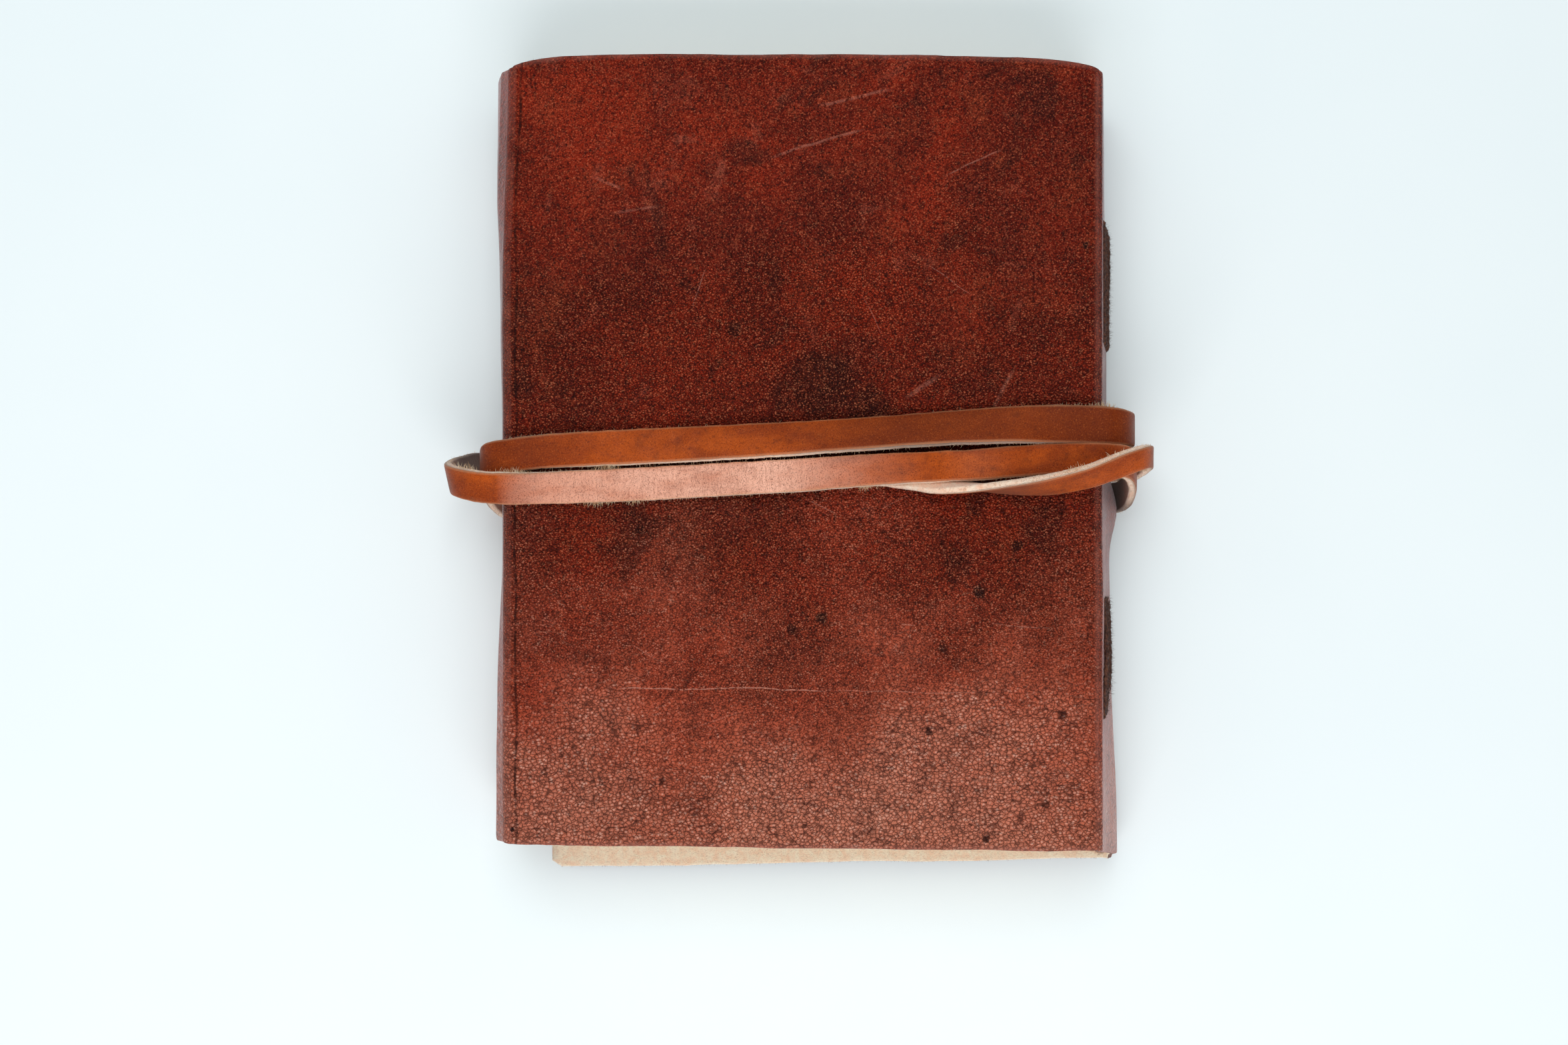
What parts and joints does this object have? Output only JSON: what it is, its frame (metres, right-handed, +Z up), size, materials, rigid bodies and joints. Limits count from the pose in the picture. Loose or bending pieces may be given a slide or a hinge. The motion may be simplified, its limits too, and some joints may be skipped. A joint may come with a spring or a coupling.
{
  "type": "leather wrap journal",
  "caption": "Handmade leather notebook with a wrap-around cover, long-stitched paper signatures and a leather strap wound round it.",
  "frame": {"origin": "middle of the bounding box at the table, under the strap's lowest runs", "axes": "+X towards the spine, +Y towards the head of the book, +Z up; the front cover is underneath"},
  "size_m": [0.1512, 0.1782, 0.0332],
  "materials": {
    "hide": "waxed dark red-brown grain, suede inside",
    "strap_leather": "tan grain, raw pale edges",
    "paper": "rough handmade, deckle edges",
    "thread": "waxed fuzzy twisted thread"
  },
  "bodies": {
    "book": {"front_cover": "hide", "spine_panel": "hide", "upper_spine_fold": "hide", "lower_spine_fold": "hide", "strap": "strap_leather", "signature_1": "paper", "signature_2": "paper", "signature_3": "paper", "signature_4": "paper", "signature_5": "paper", "signature_6": "paper", "signature_7": "paper", "thread_1": "thread", "thread_2": "thread", "thread_3": "thread", "thread_4": "thread", "thread_5": "thread", "thread_6": "thread", "thread_7": "thread", "anchor_stitch_1": "thread", "anchor_stitch_2": "thread"},
    "cover": {"back_cover": "hide", "upper_fore_edge_fold": "hide"},
    "wrap": {"fore_edge_wrap": "hide", "lower_fore_edge_fold": "hide"},
    "flap": {"closing_flap": "hide"}
  },
  "joints": [
    {"name": "back_cover_hinge", "type": "hinge", "parent": "book", "child": "cover", "pos_m": [0.0642, 0.0034, 0.029], "axis": [0, 1, 0], "range_deg": [0, 192], "deforming": ["upper_spine_fold", "strap"]},
    {"name": "fore_edge_fold", "type": "hinge", "parent": "cover", "child": "wrap", "pos_m": [-0.0638, 0.0034, 0.028], "axis": [0, 1, 0], "range_deg": [0, 78], "deforming": ["upper_fore_edge_fold"]},
    {"name": "flap_fold", "type": "hinge", "parent": "wrap", "child": "flap", "pos_m": [-0.0638, 0.0034, 0.0031], "axis": [0, 1, 0], "range_deg": [0, 90], "deforming": ["lower_fore_edge_fold", "closing_flap"]}
  ],
  "couplings": [
    {"joint": "fore_edge_fold", "follows": "back_cover_hinge", "ratio": 0.40625},
    {"joint": "flap_fold", "follows": "back_cover_hinge", "ratio": 0.46875}
  ]
}
